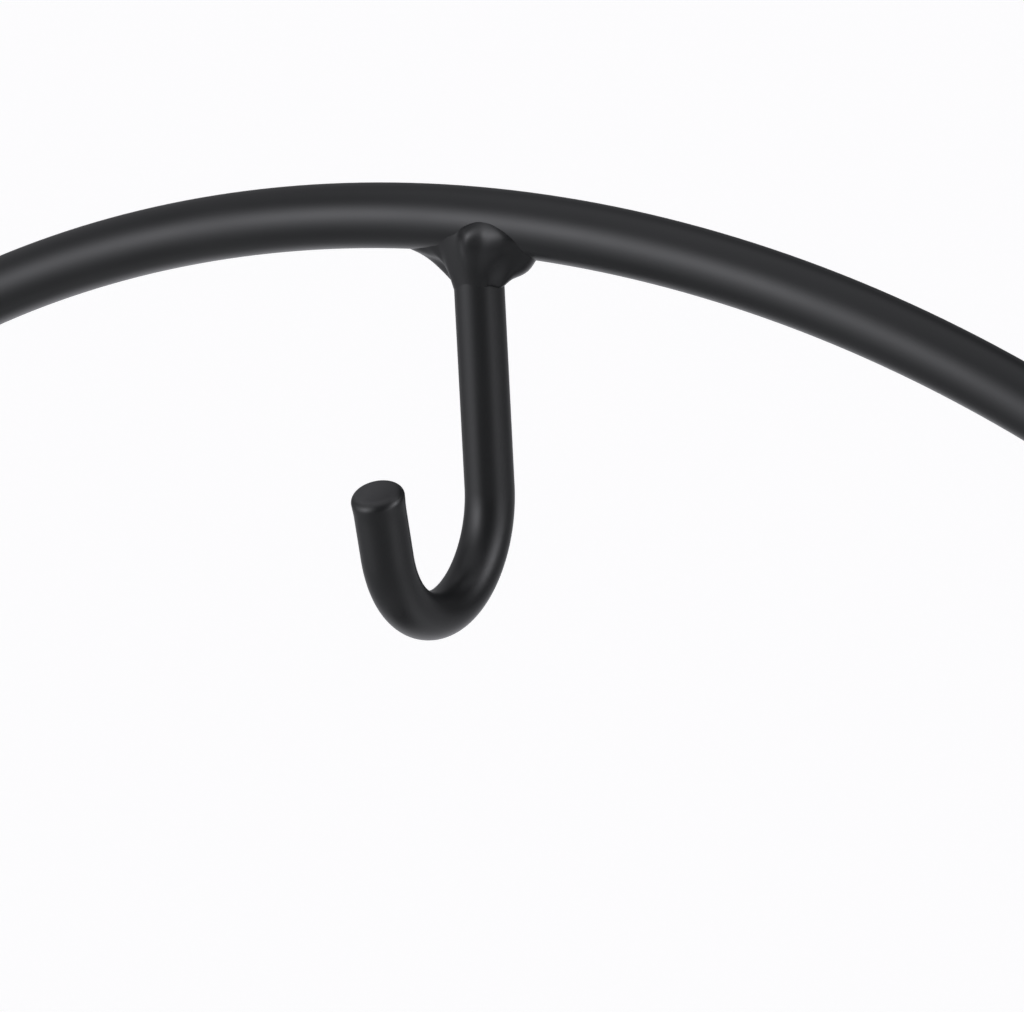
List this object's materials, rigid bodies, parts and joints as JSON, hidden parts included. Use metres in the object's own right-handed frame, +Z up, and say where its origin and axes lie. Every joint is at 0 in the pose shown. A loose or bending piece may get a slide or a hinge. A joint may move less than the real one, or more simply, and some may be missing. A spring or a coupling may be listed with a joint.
{
  "type": "hanging ornament stand",
  "caption": "Tabletop stand of black bent steel rod: an arch bolted to a flat plate on rubber feet, with a welded J-hook under its crown to hang an ornament from.",
  "frame": {"origin": "middle of the footprint, on the table under the feet", "axes": "+Z up; X along the arch's span, the viewer's left being -X; the hook opens to the front, -Y"},
  "size_m": [0.3, 0.13, 0.38],
  "materials": {
    "black_powder_coat": "satin black powder coat on steel",
    "zinc_plated_steel": "bright zinc plate",
    "black_rubber": "moulded matt rubber"
  },
  "bodies": {
    "root": {"arch": "black_powder_coat", "hook": "black_powder_coat", "hook_weld": "black_powder_coat", "base_plate": "black_powder_coat", "left_stop_flange": "black_powder_coat", "right_stop_flange": "black_powder_coat", "left_flange_weld": "black_powder_coat", "right_flange_weld": "black_powder_coat", "left_washer": "zinc_plated_steel", "right_washer": "zinc_plated_steel", "left_nut": "zinc_plated_steel", "right_nut": "zinc_plated_steel", "front_left_foot": "black_rubber", "front_right_foot": "black_rubber", "rear_left_foot": "black_rubber", "rear_right_foot": "black_rubber"}
  },
  "joints": []
}
